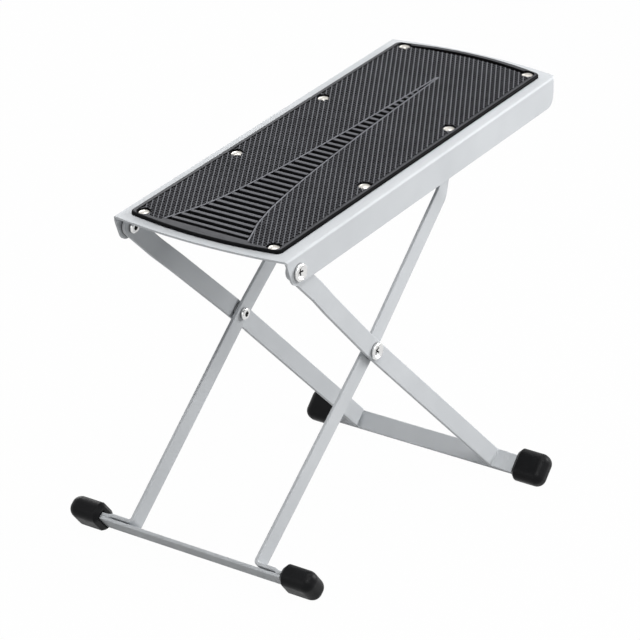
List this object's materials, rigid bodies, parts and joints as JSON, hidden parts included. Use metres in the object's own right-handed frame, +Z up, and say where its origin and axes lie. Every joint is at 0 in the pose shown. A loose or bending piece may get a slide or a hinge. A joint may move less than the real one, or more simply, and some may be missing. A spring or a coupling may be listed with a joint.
{
  "type": "guitar footrest",
  "caption": "Folding guitar footrest: sloping steel tray with a ribbed rubber tread mat on two crossing strip-steel frames with rubber feet, set by a rod in notched racks.",
  "frame": {"origin": "floor level, under the middle of the footrest as it stands open in the picture", "axes": "+Z up; -Y towards the low end of the tray, +Y towards its high end; X along the pivots"},
  "size_m": [0.175, 0.2872, 0.2543],
  "materials": {
    "tray_paint": "smooth satin grey powder coat",
    "leg_paint": "smooth satin grey powder coat",
    "mat_rubber": "satin moulded rubber",
    "foot_rubber": "smooth satin rubber",
    "pivot_chrome": "bright nickel plate",
    "rivet_nickel": "nickel plate",
    "rod_steel": "zinc-plated steel"
  },
  "bodies": {
    "outer_frame": {"outer_leg_left": "leg_paint", "outer_leg_right": "leg_paint", "rear_foot_bar": "leg_paint", "rear_foot_left": "foot_rubber", "rear_foot_right": "foot_rubber", "cross_pivot_left": "pivot_chrome", "cross_pivot_right": "pivot_chrome", "cross_washer_left": "rod_steel", "cross_washer_right": "rod_steel"},
    "inner_frame": {"inner_leg_left": "leg_paint", "inner_leg_right": "leg_paint", "front_foot_bar": "leg_paint", "front_foot_left": "foot_rubber", "front_foot_right": "foot_rubber", "height_rod": "rod_steel"},
    "tray": {"tray_shell": "tray_paint", "tread_mat": "mat_rubber", "mat_rivets": "rivet_nickel", "rack_left": "tray_paint", "rack_right": "tray_paint", "tray_pivot_left": "pivot_chrome", "tray_pivot_right": "pivot_chrome", "tray_washer_left": "rod_steel", "tray_washer_right": "rod_steel"}
  },
  "joints": [
    {"name": "scissor_hinge", "type": "hinge", "parent": "outer_frame", "child": "inner_frame", "pos_m": [0, -0.02545, 0.11532], "axis": [-1, 0, 0], "range_deg": [0, 80]},
    {"name": "tray_hinge", "type": "hinge", "parent": "outer_frame", "child": "tray", "pos_m": [0, -0.12612, 0.18686], "axis": [-1, 0, 0], "range_deg": [0, 45]}
  ],
  "couplings": [
    {"joint": "tray_hinge", "follows": "scissor_hinge", "ratio": 0.5625}
  ]
}
